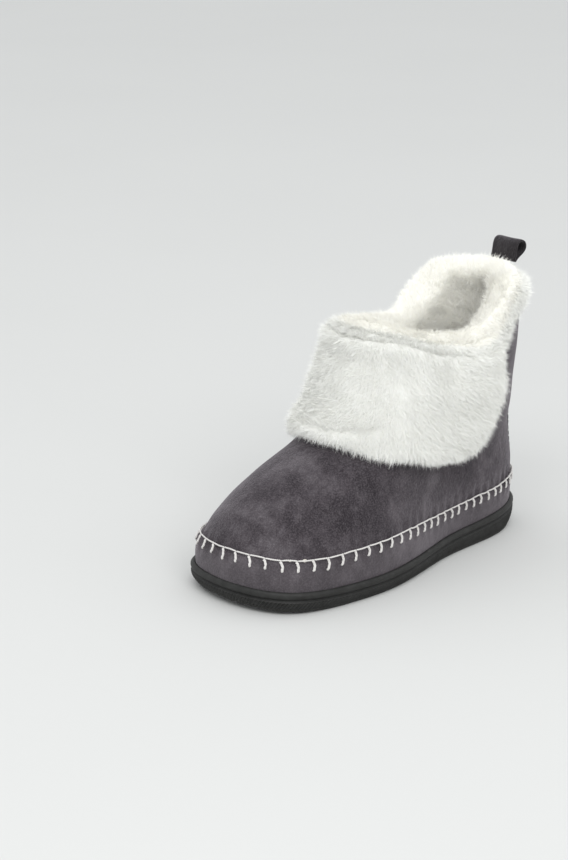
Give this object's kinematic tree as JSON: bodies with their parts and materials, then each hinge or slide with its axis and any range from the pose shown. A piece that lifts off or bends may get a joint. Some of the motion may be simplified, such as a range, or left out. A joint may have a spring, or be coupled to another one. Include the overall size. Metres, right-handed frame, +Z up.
{
  "type": "slipper boot",
  "caption": "Ankle-high slipper boot for a left foot with a fold-down fur cuff, fur lining, moccasin seam, rubber sole and pull loop.",
  "frame": {"origin": "on the floor, on the sole's flat underside, below the middle of its length and the centre line of the heel", "axes": "+X towards the toe, +Y towards the outer (lateral) side of the left foot, +Z up"},
  "size_m": [0.267, 0.1135, 0.1976],
  "materials": {
    "outsole_rubber": "matt moulded black",
    "suede": "brushed charcoal suede",
    "backstay_suede": "brushed black suede",
    "webbing": "dark suede-faced webbing",
    "cuff_fur": "white long-pile faux fur",
    "cuff_skin": "knitted backing of the faux fur",
    "lining_fur": "warm white faux-fur lining",
    "footbed_fleece": "short fleece",
    "foam": "open-cell foam",
    "board": "cellulose insole board",
    "filler": "grey felt",
    "stiffener": "thermoplastic sheet",
    "white_thread": "waxed off-white twisted thread",
    "dark_thread": "dark sewing thread"
  },
  "bodies": {
    "boot": {"outsole": "outsole_rubber", "midsole_filler": "filler", "insole_board": "board", "footbed_foam": "foam", "footbed_cover": "footbed_fleece", "side_wall": "suede", "upper": "suede", "toe_puff": "stiffener", "heel_counter": "stiffener", "backstay": "backstay_suede", "foot_lining_lateral": "lining_fur", "foot_lining_medial": "lining_fur", "collar_lining_lateral": "lining_fur", "collar_lining_medial": "lining_fur", "loop_anchor": "webbing", "moccasin_thread": "white_thread", "backstay_thread": "dark_thread", "collar_fur_rear": "cuff_fur", "cuff_wing_lateral": "cuff_fur", "cuff_wing_medial": "cuff_fur", "cuff_wing_backing_lateral": "cuff_skin", "cuff_wing_backing_medial": "cuff_skin", "collar_backing_rear": "cuff_skin"},
    "cuff_flap": {"cuff_front": "cuff_fur", "cuff_front_backing": "cuff_skin"},
    "loop": {"pull_loop": "webbing"}
  },
  "joints": [
    {"name": "cuff_lift", "type": "hinge", "parent": "boot", "child": "cuff_flap", "pos_m": [0.0132, 0, 0.163], "axis": [0, -1, 0], "range_deg": [0, 40]},
    {"name": "pull_loop_tilt", "type": "hinge", "parent": "boot", "child": "loop", "pos_m": [-0.12509, 0, 0.1837], "axis": [0, 1, 0], "range_deg": [-45, 55], "stiffness_Nm_per_rad": 0.01}
  ]
}
